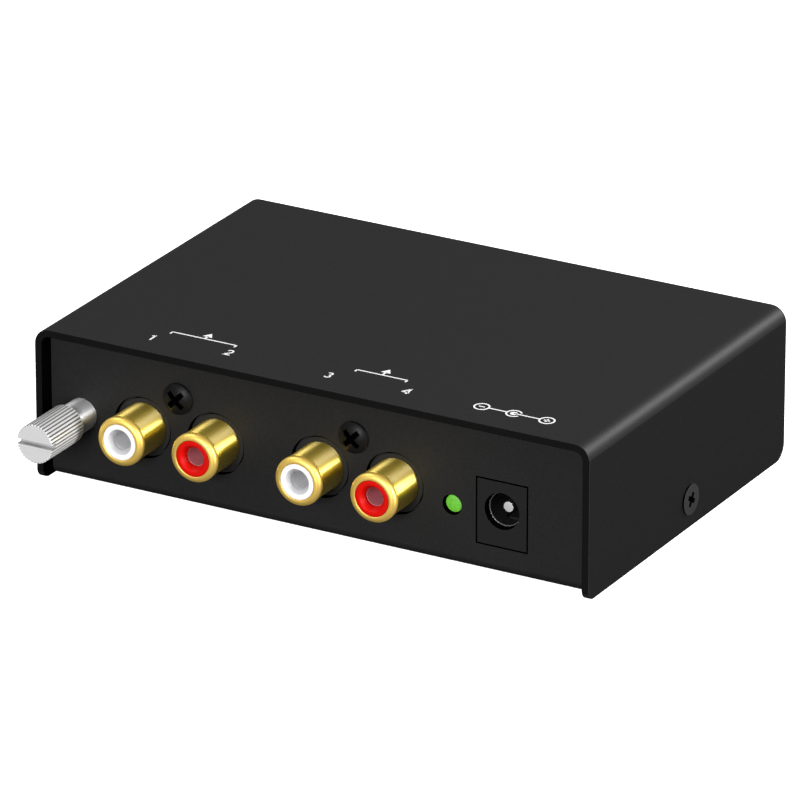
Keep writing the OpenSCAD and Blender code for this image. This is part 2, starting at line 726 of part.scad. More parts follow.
// Eight-legged amplifier chip
module chip(x) color([0.12, 0.12, 0.12]) {
    translate([x - chip_l / 2, chip_y - chip_w / 2, board_top_z + chip_lift])
        cube([chip_l, chip_w, chip_h]);
    for (i = [-1.5 : 1.5]) for (side = [-1, 1])
        translate([x + i * chip_leg_pitch - chip_leg_t, chip_y, board_top_z]) {
            leg_top = chip_lift + chip_h / 2;
            translate([0, side > 0 ? 0 : -chip_leg_span / 2, leg_top - chip_leg_t])
                cube([2 * chip_leg_t, chip_leg_span / 2, chip_leg_t]);
            translate([0, side * (chip_leg_span / 2 - chip_leg_t / 2) - chip_leg_t / 2, 0])
                cube([2 * chip_leg_t, chip_leg_t, leg_top]);
        }
}

// Upright electrolytic capacitor: a can with a rolled-in waist near its foot
module electrolytic(x, y, d, h) translate([x, y, board_top_z]) {
    above_waist = can_foot_h + can_waist_h;
    cylinder(h = can_foot_h, d = d);
    cylinder(h = above_waist + can_foot_h, d = d - 2 * can_waist_depth);
    translate([0, 0, above_waist]) cylinder(h = h - above_waist, d = d);
}

module coupling_capacitors() color([0.12, 0.14, 0.3])
    for (x = chips_x) for (side = [-1, 1])
        electrolytic(x - coupling_left + side * coupling_step / 2, coupling_y, coupling_d, coupling_h);

module supply_capacitors() color([0.12, 0.14, 0.3])
    for (i = [0, 1]) electrolytic(supply_x, supply_y + i * supply_pitch, supply_d, supply_h);

module film_capacitors() color([0.7, 0.2, 0.15])
    for (x = chips_x) for (i = [0, 1]) for (side = [-1, 1])
        translate([x - film_left + (side * film_step - film_l) / 2,
                film_y + i * film_pitch - film_t / 2, board_top_z])
            cube([film_l, film_t, film_h]);

// Standing disc on two legs, one beside each chip
module ceramic_capacitors() color([0.8, 0.55, 0.2])
    for (x = chips_x) {
        bar_y(x, board_top_z + ceramic_lift + ceramic_d / 2, ceramic_y - ceramic_t / 2,
            ceramic_y + ceramic_t / 2, ceramic_d);
        for (side = [-1, 1]) translate([x + side * ceramic_leg_pitch / 2, ceramic_y, board_top_z])
            cylinder(h = 2 * ceramic_lift, d = wire_d);
    }

// Body and bent wires of an axial part along X
module axial(x, y, d, l, span, lead_d) translate([x, y, board_top_z]) {
    axis_z = d / 2 + axial_lift;
    translate([-l / 2, 0, axis_z]) rotate([0, 90, 0]) cylinder(h = l, d = d);
    translate([-span / 2, 0, axis_z]) rotate([0, 90, 0]) cylinder(h = span, d = lead_d);
    for (side = [-1, 1]) translate([side * (span - lead_d) / 2, 0, 0])
        cylinder(h = axis_z, d = lead_d);
}

module resistors() color([0.65, 0.5, 0.35])
    for (x = chips_x) for (i = [-2 : 2])
        axial(x - resistor_left, chip_y + resistor_row + i * resistor_pitch, resistor_d, resistor_l,
            resistor_span, wire_d);

// Three-legged regulator with one flat side
module voltage_regulator() color([0.12, 0.12, 0.12]) translate([regulator_x, regulator_y, board_top_z]) {
    translate([0, 0, regulator_lift]) difference() {
        cylinder(h = regulator_h, d = regulator_d);
        translate([-regulator_d, regulator_d / 4, -eps])
            cube([2 * regulator_d, regulator_d, 2 * regulator_h]);
    }
    for (i = [-1 : 1])
        translate([i * regulator_leg_pitch - regulator_leg_w / 2, -regulator_leg_w / 2, 0])
            cube([regulator_leg_w, regulator_leg_w, regulator_lift + regulator_leg_w]);
}

module polarity_diode() color([0.15, 0.15, 0.15])
    translate([diode_x, diode_y, 0]) rotate([0, 0, 90])
        axial(0, 0, diode_d, diode_l, diode_span, diode_wire_d);

// ---- Nodes ---------------------------------------------------------------

chassis();
top_cover();
side_screws();
circuit_board();
board_posts();
board_screws();
jack_housing(output_mid_x, output_screw_x);  // output_jack_housing
jack_housing(input_mid_x, input_screw_x);  // input_jack_housing
housing_screws();
shell(output_left_x);  // output_left_shell
shell(output_right_x);  // output_right_shell
shell(input_left_x);  // input_left_shell
shell(input_right_x);  // input_right_shell
insulator(output_left_x, white);  // output_left_insulator
insulator(output_right_x, red);  // output_right_insulator
insulator(input_left_x, white);  // input_left_insulator
insulator(input_right_x, red);  // input_right_insulator
contact(output_left_x);  // output_left_contact
contact(output_right_x);  // output_right_contact
contact(input_left_x);  // input_left_contact
contact(input_right_x);  // input_right_contact
ground_post();
ground_nut();
ground_strap();
ground_screw();
ground_screw_ring();
power_jack_body();
power_jack_pin();
power_jack_spring();
lamp_lens();
lamp_legs();
chip(chips_x[0]);  // left_chip
chip(chips_x[1]);  // right_chip
coupling_capacitors();
supply_capacitors();
film_capacitors();
ceramic_capacitors();
resistors();
voltage_regulator();
polarity_diode();
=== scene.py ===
import math

import bmesh
import bpy
from mathutils import Matrix, Vector


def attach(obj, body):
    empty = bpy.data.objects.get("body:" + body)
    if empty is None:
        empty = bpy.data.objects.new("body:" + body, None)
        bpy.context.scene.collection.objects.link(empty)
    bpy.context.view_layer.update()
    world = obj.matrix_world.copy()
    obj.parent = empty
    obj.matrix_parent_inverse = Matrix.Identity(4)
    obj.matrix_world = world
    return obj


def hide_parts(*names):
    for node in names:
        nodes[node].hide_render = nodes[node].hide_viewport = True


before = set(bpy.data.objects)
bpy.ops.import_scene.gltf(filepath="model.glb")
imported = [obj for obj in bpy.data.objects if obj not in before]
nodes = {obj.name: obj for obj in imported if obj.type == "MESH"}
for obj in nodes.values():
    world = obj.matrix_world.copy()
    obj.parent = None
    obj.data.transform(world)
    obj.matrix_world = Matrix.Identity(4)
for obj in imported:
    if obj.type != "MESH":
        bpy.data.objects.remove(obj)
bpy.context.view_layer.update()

# ---- Camera, floor and light ------------------------------------------------
# A plain pale table under soft studio light. One light hangs above at the left, one stands low in
# front, a tall one at the right draws the streaks on the turned metal, and a narrow one behind
# draws the line along the cover's bend.

MM = 0.001
LIGHT_AWAY = 1.1
TABLE_REACH, TABLE_DROP = 3, 0.00005

aim = Vector((8.3713, -18.764, 20.6264)) * MM
azimuth, elevation, distance = math.radians(29.4726), math.radians(22.4816), 1.36814
back = Vector((math.sin(azimuth) * math.cos(elevation),
               -math.cos(azimuth) * math.cos(elevation), math.sin(elevation)))
camera = bpy.data.objects.new("camera", bpy.data.cameras.new("camera"))
bpy.context.scene.collection.objects.link(camera)
camera.data.sensor_width = 36
camera.data.lens = 376.66
camera.data.clip_start, camera.data.clip_end = 0.05, 50
camera.location = aim + back * distance
camera.rotation_mode = "QUATERNION"
camera.rotation_quaternion = (-back).to_track_quat("-Z", "Y")
bpy.context.scene.camera = camera
bpy.context.scene.view_settings.view_transform = "Standard"
bpy.context.scene.view_settings.look = "None"


def soft_light(name, direction, width, height, power):
    """Rectangular soft light, set away in a direction and turned to the case."""
    lamp = bpy.data.lights.new(name, "AREA")
    lamp.shape = "RECTANGLE"
    lamp.size, lamp.size_y, lamp.energy = width, height, power
    stand = bpy.data.objects.new(name, lamp)
    bpy.context.scene.collection.objects.link(stand)
    stand.location = Vector(direction).normalized() * LIGHT_AWAY
    stand.rotation_mode = "QUATERNION"
    stand.rotation_quaternion = Vector(direction).to_track_quat("Z", "Y")


soft_light("overhead_light", (-0.62, -0.22, 0.75), 0.5, 0.4, 4)
soft_light("front_light", (0.10, -0.97, 0.24), 0.34, 0.36, 11.5)
soft_light("streak_light", (0.92, -0.12, 0.26), 0.3, 0.56, 19)
soft_light("bend_light", (0.455, 0.805, 0.40), 0.5, 0.08, 8)

room = bpy.data.worlds.new("room")
bpy.context.scene.world = room
room.use_nodes = True
walls = room.node_tree.nodes
walls.clear()


def wall(strength):
    """White all round, of that strength."""
    made = walls.new("ShaderNodeBackground")
    made.inputs["Color"].default_value = (1, 1, 1, 1)
    made.inputs["Strength"].default_value = strength
    return made


seen, fill = wall(1), wall(0.32)
rays = walls.new("ShaderNodeLightPath")
either = walls.new("ShaderNodeMixShader")
sky_out = walls.new("ShaderNodeOutputWorld")
link = room.node_tree.links.new
link(rays.outputs["Is Camera Ray"], either.inputs[0])
link(fill.outputs[0], either.inputs[1])
link(seen.outputs[0], either.inputs[2])
link(either.outputs[0], sky_out.inputs["Surface"])

table = bmesh.new()
bmesh.ops.create_grid(table, x_segments=1, y_segments=1, size=TABLE_REACH)
bmesh.ops.translate(table, vec=(0, 0, -TABLE_DROP), verts=table.verts)
table_mesh = bpy.data.meshes.new("table")
table.to_mesh(table_mesh)
table.free()
floor = bpy.data.objects.new("floor", table_mesh)
bpy.context.scene.collection.objects.link(floor)
white_top = bpy.data.materials.new("white_table")
white_top.use_nodes = True
top = white_top.node_tree.nodes
top.clear()
paper = top.new("ShaderNodeBsdfDiffuse")
paper.inputs["Color"].default_value = (0.86, 0.86, 0.86, 1)
glow = top.new("ShaderNodeEmission")
glow.inputs["Strength"].default_value = 0.95
lit = top.new("ShaderNodeAddShader")
dim = top.new("ShaderNodeBsdfDiffuse")
dim.inputs["Color"].default_value = (0.08, 0.08, 0.08, 1)
rays = top.new("ShaderNodeLightPath")
either = top.new("ShaderNodeMixShader")
below = top.new("ShaderNodeBsdfTransparent")
side = top.new("ShaderNodeNewGeometry")
facing = top.new("ShaderNodeMixShader")
top_out = top.new("ShaderNodeOutputMaterial")
link = white_top.node_tree.links.new
link(paper.outputs[0], lit.inputs[0])
link(glow.outputs[0], lit.inputs[1])
link(rays.outputs["Is Camera Ray"], either.inputs[0])
link(dim.outputs[0], either.inputs[1])
link(lit.outputs[0], either.inputs[2])
link(side.outputs["Backfacing"], facing.inputs[0])
link(either.outputs[0], facing.inputs[1])
link(below.outputs[0], facing.inputs[2])
link(facing.outputs[0], top_out.inputs["Surface"])
table_mesh.materials.append(white_top)

# ---- Chassis ----------------------------------------------------------------
# A folded U of 1.2 mm steel: front panel, floor and back panel, with a screw tab at each side.
# It is punched, bent and then powder coated a fine matt black, which rounds every edge a little.


def coating(name, colour, roughness, metal=0.0, grain=0.0004, tint=0.06, relief=0.000006,
            play=0.05, specular=0.5, coat=0.0, turn=0.0, flash=0.0):
    """Finish with a fine grain: it varies the colour and the gloss, and raises the surface."""
    made = bpy.data.materials.new(name)
    made.use_nodes = True
    tree = made.node_tree
    shader = tree.nodes["Principled BSDF"]
    shader.inputs["Metallic"].default_value = metal
    shader.inputs["Specular IOR Level"].default_value = specular
    shader.inputs["Coat Weight"].default_value = coat
    shader.inputs["Coat Roughness"].default_value = 0.12
    place = tree.nodes.new("ShaderNodeTexCoord")
    fine = tree.nodes.new("ShaderNodeTexNoise")
    fine.inputs["Scale"].default_value = 1 / grain
    fine.inputs["Detail"].default_value = 3
    broad = tree.nodes.new("ShaderNodeTexNoise")
    broad.inputs["Scale"].default_value = 1 / (grain * 14)
    broad.inputs["Detail"].default_value = 2
    shade = tree.nodes.new("ShaderNodeMix")
    shade.data_type = "RGBA"
    shade.inputs["A"].default_value = [c * (1 - tint) for c in colour] + [1]
    shade.inputs["B"].default_value = [min(1, c * (1 + tint)) for c in colour] + [1]
    gloss = tree.nodes.new("ShaderNodeMapRange")
    gloss.inputs["To Min"].default_value = roughness - play
    gloss.inputs["To Max"].default_value = roughness + play
    raised = tree.nodes.new("ShaderNodeBump")
    raised.inputs["Distance"].default_value = relief
    raised.inputs["Strength"].default_value = 1
    join = tree.links.new
    join(place.outputs["Object"], fine.inputs["Vector"])
    join(place.outputs["Object"], broad.inputs["Vector"])
    join(fine.outputs["Fac"], shade.inputs["Factor"])
    join(broad.outputs["Fac"], gloss.inputs["Value"])
    join(fine.outputs["Fac"], raised.inputs["Height"])
    join(shade.outputs["Result"], shader.inputs["Base Color"])
    join(gloss.outputs["Result"], shader.inputs["Roughness"])
    join(raised.outputs["Normal"], shader.inputs["Normal"])
    if turn:
        lathe = tree.nodes.new("ShaderNodeTangent")
        lathe.direction_type = "RADIAL"
        lathe.axis = "Y"
        shader.inputs["Anisotropic"].default_value = turn
        shader.inputs["Anisotropic Rotation"].default_value = 0.25
        join(lathe.outputs["Tangent"], shader.inputs["Tangent"])
        white = tree.nodes.new("ShaderNodeBsdfAnisotropic")
        white.inputs["Color"].default_value = (1, 1, 1, 1)
        white.inputs["Roughness"].default_value = roughness
        white.inputs["Anisotropy"].default_value = -0.8 * turn
        white.inputs["Rotation"].default_value = 0.25
        over = tree.nodes.new("ShaderNodeMixShader")
        over.inputs[0].default_value = flash
        join(lathe.outputs["Tangent"], white.inputs["Tangent"])
        join(shader.outputs[0], over.inputs[1])
        join(white.outputs[0], over.inputs[2])
        join(over.outputs[0], tree.nodes["Material Output"].inputs["Surface"])
    return made


def piece(name, mesh, finishes, body="preamp", stands_for=(), smooth=30, flats=False):
    """Finished object that rides on a body and the nodes it stands for."""
    if not flats:
        bmesh.ops.recalc_face_normals(mesh, faces=mesh.faces)
    data = bpy.data.meshes.new(name)
    mesh.to_mesh(data)
    mesh.free()
    for finish in finishes:
        data.materials.append(finish)
    data.shade_smooth()
    made = bpy.data.objects.new(name, data)
    bpy.context.scene.collection.objects.link(made)
    if flats:
        even = made.modifiers.new("even_flats", "WEIGHTED_NORMAL")
        even.weight = 100
    else:
        data.set_sharp_from_angle(angle=math.radians(smooth))
    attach(made, body)
    if stands_for:
        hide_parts(*stands_for)
    return made


def softened(node, width, segments=3, corner=35, leave=lambda edge: False):
    """Merged copy of a CAD node's mesh with its sharp edges rounded over by that width."""
    mesh = bmesh.new()
    mesh.from_mesh(nodes[node].data)
    bmesh.ops.remove_doubles(mesh, verts=mesh.verts, dist=1e-7)
    bmesh.ops.dissolve_limit(mesh, angle_limit=math.radians(0.5), verts=mesh.verts,
                             edges=mesh.edges)
    sharp = [e for e in mesh.edges
             if e.is_manifold and e.calc_face_angle() > math.radians(corner) and not leave(e)]
    bmesh.ops.bevel(mesh, geom=sharp, offset=width, offset_type="OFFSET", segments=segments,
                    profile=0.5, affect="EDGES", material=-1, clamp_overlap=True)
    return mesh


powder = coating("black_powder_coat", (0.0105, 0.0105, 0.0107), 0.56, grain=0.00032, tint=0.4,
                 relief=0.00002, play=0.015, specular=0.16)
# Painted shade: a darker, less glossy copy of the coat for the cover's side flaps, so they come out
# darker than the top.
flap_powder_painted_shade = coating("black_powder_coat_flap_painted_shade", (0.0055, 0.0055, 0.0056), 0.56, grain=0.00032,
                      tint=0.4, relief=0.00002, play=0.015, specular=0.1)
# Painted shade: a near-black, dull finish for the cover's cut edges and for the housing bosses
# inside the panel holes.
shade_black = coating("painted_shade_black", (0.004, 0.004, 0.004), 0.7, grain=0.00032, tint=0.2,
                      relief=0.000008, specular=0.04)
# Painted shade: a near-black with no gloss for hole walls, screw recesses, the power socket's mouth
# and the cover's inside.
painted_recess_shade = coating("painted_recess_shade", (0.0008, 0.0008, 0.0008), 0.8, grain=0.0005, tint=0.3,
                       relief=0.000003, specular=0.0)
PANEL_FRONT, PANEL_BACK = -31.8, -30.6
HOLES_REACH, HOLES_LOW, HOLES_HIGH = 50, 3, 23
chassis = softened("chassis", 0.05 * MM)
# The walls of the holes in the front panel take the painted recess shade.
for face in chassis.faces:
    middle = face.calc_center_median() / MM
    in_panel = PANEL_FRONT + 0.001 < middle.y < PANEL_BACK + 0.1
    by_holes = abs(middle.x) < HOLES_REACH and HOLES_LOW < middle.z < HOLES_HIGH
    face.material_index = in_panel and by_holes and abs(face.normal.y) < 0.95
piece("folded_chassis", chassis, [powder, painted_recess_shade], stands_for=["chassis"],
      flats=True)

# ---- Circuit board, posts and screws ----------------------------------------
# A 1.6 mm glass-fibre board under green solder mask, on four threaded posts pressed into the floor.
# Four tinned pan-head screws hold it down.


def dress(node, finish):
    """Gives a CAD node its finish."""
    shown = nodes[node]
    if not shown.data.materials:
        shown.data.materials.append(finish)
    for held in shown.material_slots:
        held.material = finish


solder_mask = coating("green_solder_mask", (0.012, 0.085, 0.03), 0.32, grain=0.0006, tint=0.3,
                      relief=0.000004)
nickel = coating("nickel_plate", (0.62, 0.61, 0.60), 0.24, metal=1.0, grain=0.0008, tint=0.04,
                 relief=0.000001)
tin = coating("tin_plate", (0.55, 0.54, 0.51), 0.36, metal=1.0, grain=0.0005, tint=0.08,
              relief=0.000003)
dress("circuit_board", solder_mask)
dress("board_posts", nickel)
dress("board_screws", nickel)

# ---- Parts on the board -----------------------------------------------------
# Chips, capacitors, resistors, a regulator and a diode, each moulded, dipped or sleeved in its own
# plastic. They are out of sight under the cover, so their solids stay and take their finishes.

chip_black = coating("moulded_black", (0.014, 0.014, 0.015), 0.5, grain=0.00025, tint=0.15,
                     relief=0.000006, specular=0.4)
sleeve = coating("blue_black_sleeve", (0.01, 0.016, 0.07), 0.28, grain=0.0008, tint=0.12,
                 relief=0.000003, coat=0.3)
film_red = coating("red_resin", (0.32, 0.018, 0.012), 0.3, grain=0.0007, tint=0.12,
                   relief=0.000005, coat=0.3)
ceramic = coating("orange_dip", (0.5, 0.16, 0.02), 0.55, grain=0.0005, tint=0.15,
                  relief=0.00001)
lacquer = coating("tan_lacquer", (0.42, 0.24, 0.10), 0.5, grain=0.0005, tint=0.12,
                  relief=0.000006)
for node in ("left_chip", "right_chip", "voltage_regulator", "polarity_diode"):
    dress(node, chip_black)
for node in ("coupling_capacitors", "supply_capacitors"):
    dress(node, sleeve)
dress("film_capacitors", film_red)
dress("ceramic_capacitors", ceramic)
dress("resistors", lacquer)

# ---- Phono sockets ----------------------------------------------------------
# Two twin sockets, moulded black housings behind the panel. Each socket has a gold-plated turned
# shell with a rounded lip, a white or red insulator with a funnel mouth, and a tinned contact.

SOCKET_Z = 12.0
SOCKET_Y = -39.3
BOARD_TOP = 4.95
SHELL_REACH, SHELL_INSIDE, LIP_REACH, LIP_LENGTH = 4.15, 3.15, 4.28, 1.3
LEG_HALF, CONTACT_END = 0.5, -20.3
SOCKETS = {"output_left": -33.0, "output_right": -19.0, "input_left": 0.7, "input_right": 14.7}


def turned(x, z, profile, steps=96, closed=True):
    """Lathe work about a line along Y. Each profile point is radius, y and rounding, in mm."""
    mesh = bmesh.new()
    points = [mesh.verts.new(((x + r) * MM, y * MM, z * MM)) for r, y, _ in profile]
    ends = list(zip(points, points[1:])) + ([(points[-1], points[0])] if closed else [])
    lines = [mesh.edges.new(pair) for pair in ends]
    bmesh.ops.spin(mesh, geom=points + lines, cent=(x * MM, 0, z * MM), axis=(0, 1, 0),
                   angle=2 * math.pi, steps=steps, use_merge=True)
    bmesh.ops.remove_doubles(mesh, verts=mesh.verts, dist=1e-7)
    bmesh.ops.dissolve_degenerate(mesh, dist=1e-7, edges=mesh.edges)
    bmesh.ops.recalc_face_normals(mesh, faces=mesh.faces)

    def on(vert, r, y):
        reach = math.hypot(vert.co.x - x * MM, vert.co.z - z * MM)
        return abs(reach - r * MM) < 2e-6 and abs(vert.co.y - y * MM) < 2e-6

    for r, y, rounding in profile:
        if rounding:
            ring = [e for e in mesh.edges if on(e.verts[0], r, y) and on(e.verts[1], r, y)]
            bmesh.ops.bevel(mesh, geom=ring, offset=rounding * MM, offset_type="OFFSET",
                            segments=5, profile=0.5, affect="EDGES", material=-1,
                            clamp_overlap=True)
    return mesh


def block(mesh, low, high):
    """Adds a box between two corners, in mm."""
    size = [(b - a) * MM for a, b in zip(low, high)]
    middle = Vector([(a + b) / 2 * MM for a, b in zip(low, high)])
    return bmesh.ops.create_cube(mesh, size=1, matrix=Matrix.Translation(middle)
                                 @ Matrix.Diagonal((*size, 1)))["verts"]


gold = coating("gold_plate", (0.95, 0.68, 0.0), 0.42, metal=1.0, grain=0.0012, tint=0.03,
               relief=0.0, play=0.03, turn=0.96, flash=0.15)
# Painted light: a paler, partly diffuse copy of the gold, so the lips come out lighter than the
# shells.
gold_lip_painted_light = coating("gold_plated_lip_painted_light", (0.90, 0.62, 0.14), 0.46, metal=0.8, grain=0.0012,
                   tint=0.03, relief=0.0, play=0.03)
contact_silver = coating("dull_silver", (0.68, 0.68, 0.69), 0.5, metal=0.1, grain=0.0004,
                         tint=0.04, relief=0.000002)
white_plastic = coating("white_plastic", (0.80, 0.80, 0.81), 0.3, grain=0.0006, tint=0.015,
                        relief=0.000001)
# Painted shade: a darker copy of the white plastic for the funnels of the white insulators.
funnel_painted_shade = coating("funnel_painted_shade", (0.50, 0.50, 0.51), 0.4, grain=0.0006, tint=0.015,
                       relief=0.000001, specular=0.3)
red_plastic = coating("red_plastic", (0.52, 0.003, 0.001), 0.45, grain=0.0006, tint=0.05,
                      relief=0.000001, specular=0.12)
# Painted reflection: the contacts in the red insulators are tinted red for the red light thrown
# back by the walls round them.
silver_painted_red_bounce = coating("silver_painted_red_bounce", (0.62, 0.22, 0.25), 0.5, metal=0.25, grain=0.0004,
                        tint=0.04, relief=0.000002)
housing_black = coating("moulded_housing", (0.016, 0.016, 0.016), 0.5, grain=0.0003,
                        tint=0.12, relief=0.000005, specular=0.16)
for node in ("output_jack_housing", "input_jack_housing"):
    housing = softened(node, 0.04 * MM)
    # Painted shade: the housing's side faces inside the panel hole take the near-black shade
    # finish.
    for face in housing.faces:
        in_hole = face.calc_center_median().y < (PANEL_BACK - 0.03) * MM
        face.material_index = in_hole and abs(face.normal.y) < 0.5
    piece(node + "_moulding", housing, [housing_black, shade_black],
          stands_for=[node], flats=True)
for socket, x in SOCKETS.items():
    shell = turned(x, SOCKET_Z, [
        (SHELL_INSIDE, SOCKET_Y, 0.1), (LIP_REACH, SOCKET_Y, 0.8),
        (LIP_REACH, SOCKET_Y + LIP_LENGTH, 0.4), (4.05, SOCKET_Y + LIP_LENGTH + 0.15, 0),
        (SHELL_REACH, SOCKET_Y + LIP_LENGTH + 0.35, 0.05), (SHELL_REACH, -28.6, 0.1),
        (SHELL_INSIDE, -28.6, 0)])
    # The lip faces take the paler gold of painted light.
    for face in shell.faces:
        face.material_index = face.calc_center_median().y < (SOCKET_Y + LIP_LENGTH + 0.1) * MM
    piece(socket + "_gold_shell", shell, [gold, gold_lip_painted_light],
          stands_for=[socket + "_shell"])
    leg = bmesh.new()
    block(leg, (x - LEG_HALF, -29.7, BOARD_TOP), (x + LEG_HALF, -29.2, SOCKET_Z - 3.3))
    piece(socket + "_shell_leg", leg, [gold])
    insulator = turned(x, SOCKET_Z, [
        (3.1, SOCKET_Y + 0.03, 0.12), (2.3, SOCKET_Y + 0.03, 0.1), (1.65, SOCKET_Y + 1.0, 0.08),
        (1.65, SOCKET_Y + 1.3, 0), (2.05, SOCKET_Y + 1.3, 0), (2.05, -29.35, 0),
        (0.95, -29.35, 0), (0.95, -25.6, 0), (3.1, -25.6, 0.1)])
    # In the white insulators the funnel faces take the painted shade; the red ones keep one red.
    for face in insulator.faces:
        middle = face.calc_center_median()
        out = math.hypot(middle.x - x * MM, middle.z - SOCKET_Z * MM)
        face.material_index = out < 2.25 * MM
    plain = [white_plastic, funnel_painted_shade] if socket.endswith("left") else [red_plastic] * 2
    piece(socket + "_mouth", insulator, plain, stands_for=[socket + "_insulator"])
    contact = turned(x, SOCKET_Z, [
        (0, SOCKET_Y + 9.3, 0), (1.6, SOCKET_Y + 9.3, 0), (1.6, SOCKET_Y + 1.3, 0.06),
        (2.0, SOCKET_Y + 1.3, 0.1), (2.0, SOCKET_Y + 9.9, 0.1), (0.9, SOCKET_Y + 9.9, 0),
        (0.9, CONTACT_END, 0.1), (0, CONTACT_END, 0)], steps=64, closed=False)
    block(contact, (x - LEG_HALF, CONTACT_END - 0.5, BOARD_TOP),
          (x + LEG_HALF, CONTACT_END, SOCKET_Z))
    bright = contact_silver if socket.endswith("left") else silver_painted_red_bounce
    piece(socket + "_centre", contact, [bright], stands_for=[socket + "_contact"])

# ---- Housing screws ---------------------------------------------------------
# Two black steel pan-head screws through the panel, one into each housing's tower.
# Cold headed, with a cross recess struck into the dome, and black oxide over all.

HOUSING_SCREWS = {"output": -26.0, "input": 7.2}
HOUSING_SCREW_Z, HEAD_REACH, HEAD_RIM, HEAD_DOME = 18.6, 2.75, 0.45, 0.85
TOOL_ABOVE = 0.3


def carved(mesh, cutter):
    """The mesh less the cutter, by an exact boolean. Both are used up."""
    pair = []
    for part in (mesh, cutter):
        bmesh.ops.recalc_face_normals(part, faces=part.faces)
        data = bpy.data.meshes.new("blank")
        part.to_mesh(data)
        part.free()
        held = bpy.data.objects.new("blank", data)
        bpy.context.scene.collection.objects.link(held)
        pair.append(held)
    blank, tool = pair
    cut = blank.modifiers.new("cut", "BOOLEAN")
    cut.operation, cut.solver, cut.object = "DIFFERENCE", "EXACT", tool
    graph = bpy.context.evaluated_depsgraph_get()
    result = blank.evaluated_get(graph)
    left = result.to_mesh()
    done = bmesh.new()
    done.from_mesh(left)
    result.to_mesh_clear()
    for held in pair:
        bpy.data.objects.remove(held)
    bmesh.ops.remove_doubles(done, verts=done.verts, dist=1e-7)
    return done


def cross_tool(reach, width, depth):
    """Tapered cross that points down from z = 0, as the recess of a cross-head screw, in mm."""
    tool = bmesh.new()
    half = width / 2
    corners = [(reach, -half), (reach, half), (half, half), (half, reach), (-half, reach),
               (-half, half), (-reach, half), (-reach, -half), (-half, -half), (-half, -reach),
               (half, -reach), (half, -half)]
    base = tool.faces.new([tool.verts.new(Vector((x, y, TOOL_ABOVE)) * MM) for x, y in corners])
    grown = bmesh.ops.extrude_face_region(tool, geom=[base], use_keep_orig=True)["geom"]
    low = [g for g in grown if isinstance(g, bmesh.types.BMVert)]
    bmesh.ops.translate(tool, vec=(0, 0, -(TOOL_ABOVE + depth) * MM), verts=low)
    bmesh.ops.scale(tool, vec=(0.6, 0.6, 1), verts=low)
    return tool


black_oxide = coating("black_oxide", (0.0045, 0.0045, 0.0046), 0.42, grain=0.0005, tint=0.15,
                      relief=0.000003, specular=0.12)


def pan_head(reach, rim, dome, shank, length):
    """Pan-head screw along Y, its head on the side of negative y, with a recess still to cut, in
    mm.
    """
    return turned(0, 0, [
        (0, -rim - dome, 0), (reach * 0.45, -rim - dome * 0.86, 0),
        (reach * 0.78, -rim - dome * 0.5, 0), (reach * 0.95, -rim - dome * 0.13, 0),
        (reach, -rim, 0.06), (reach, 0, 0.04), (shank, 0, 0), (shank, length, 0.2),
        (0, length, 0)], steps=64, closed=False)


for name, x in HOUSING_SCREWS.items():
    head = pan_head(HEAD_REACH, HEAD_RIM, HEAD_DOME, 1.45, 8)
    bmesh.ops.rotate(head, cent=(0, 0, 0), matrix=Matrix.Rotation(math.radians(-90), 3, "X"),
                     verts=head.verts)
    tool = cross_tool(2.15, 1.05, 1.2)
    bmesh.ops.rotate(tool, cent=(0, 0, 0), matrix=Matrix.Rotation(math.radians(45), 3, "Z"),
                     verts=tool.verts)
    bmesh.ops.translate(tool, vec=(0, 0, (HEAD_RIM + HEAD_DOME - 0.05) * MM), verts=tool.verts)
    screw = carved(head, tool)
    # The faces of the cross recess take the painted recess shade.
    for face in screw.faces:
        middle = face.calc_center_median()
        sunk = face.normal.z < 0.5 or middle.z < 0.5 * MM
        face.material_index = sunk and middle.z > 0.02 * MM and middle.xy.length < 2 * MM
    bmesh.ops.rotate(screw, cent=(0, 0, 0), matrix=Matrix.Rotation(math.radians(90), 3, "X"),
                     verts=screw.verts)
    bmesh.ops.translate(screw, vec=Vector((x, PANEL_FRONT, HOUSING_SCREW_Z)) * MM,
                        verts=screw.verts)
    piece(name + "_housing_screw", screw, [black_oxide, painted_recess_shade],
          stands_for=["housing_screws"], smooth=32)

# ---- Ground terminal --------------------------------------------------------
# A nickel-plated turned post, clamped through the panel by a nut that also holds the solder strap.
# The thumbscrew is a knurled brass head with a sawn slot, on a 3 mm thread of 0.5 mm pitch.

GROUND_X, GROUND_Z = -44.6, 12.1
POST_FRONT, POST_BACK, POST_REACH, POST_NECK, POST_BORE = -36.9, -26.6, 2.8, 2.5, 1.55
KNOB_LENGTH, KNOB_REACH, KNURLS, KNURL_DEPTH = 10.0, 3.4, 36, 0.26
SLOT_HALF, SLOT_DEPTH = 0.45, 1.2
THREAD_PITCH, THREAD_TURNS, TURN_STEPS = 0.5, 25, 32

satin_nickel = coating("satin_nickel", (0.85, 0.85, 0.85), 0.50, metal=1.0, grain=0.0012,
                       tint=0.03, relief=0.0, play=0.03, turn=0.75)
knob_nickel = coating("knob_nickel", (0.84, 0.84, 0.84), 0.38, metal=0.5, grain=0.0004,
                      tint=0.03, relief=0.000002, play=0.05)
